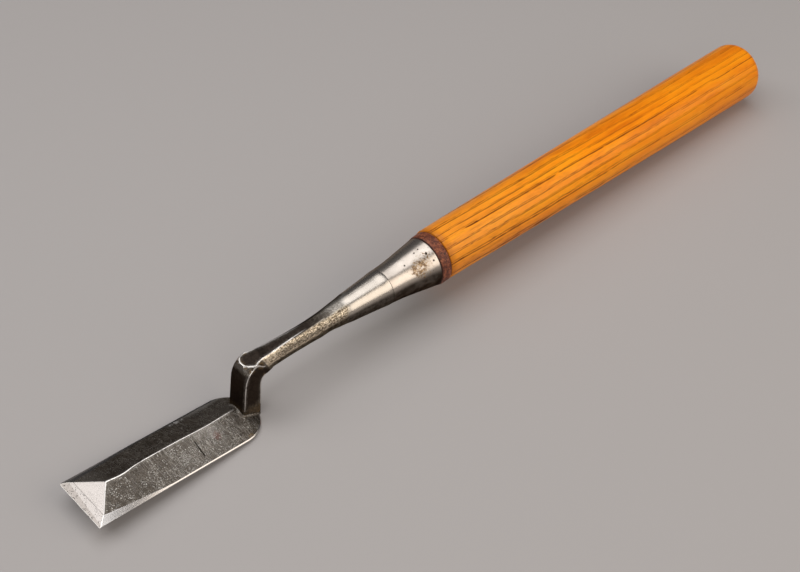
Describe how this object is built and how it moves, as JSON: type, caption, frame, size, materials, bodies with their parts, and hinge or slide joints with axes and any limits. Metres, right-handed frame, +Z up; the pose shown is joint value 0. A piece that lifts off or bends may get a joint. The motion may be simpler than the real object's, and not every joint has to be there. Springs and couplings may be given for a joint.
{
  "type": "cranked paring chisel",
  "caption": "Cranked-neck trowel chisel: flat laminated blade with a middle ridge and a half-round heel, stepped neck, conical ferrule, leather washer and straight oak handle.",
  "frame": {"origin": "on the bench under the chisel as it rests on heel and butt, at the middle of its footprint", "axes": "+X along the chisel from the cutting edge towards the butt, +Y across the blade, +Z up from the bench"},
  "size_m": [0.353, 0.0258, 0.0289],
  "materials": {
    "cutting_steel": "hard carbon steel, ground and honed bright, with small pits along the edge",
    "forged_iron_body": "soft forged iron, hand-filed, dark patina on the facets and bright on the turned flare",
    "conical_ferrule": "turned mild steel, satin bright with a few rust pits and a small brown stain",
    "leather_washer": "dark red-brown leather, pressed edge, dull",
    "oak_handle": "amber varnished oak with dark lengthwise pores, satin gloss"
  },
  "bodies": {
    "root": {"cutting_steel": "cutting_steel", "forged_iron_body": "forged_iron_body", "conical_ferrule": "conical_ferrule", "leather_washer": "leather_washer", "oak_handle": "oak_handle"}
  },
  "joints": []
}
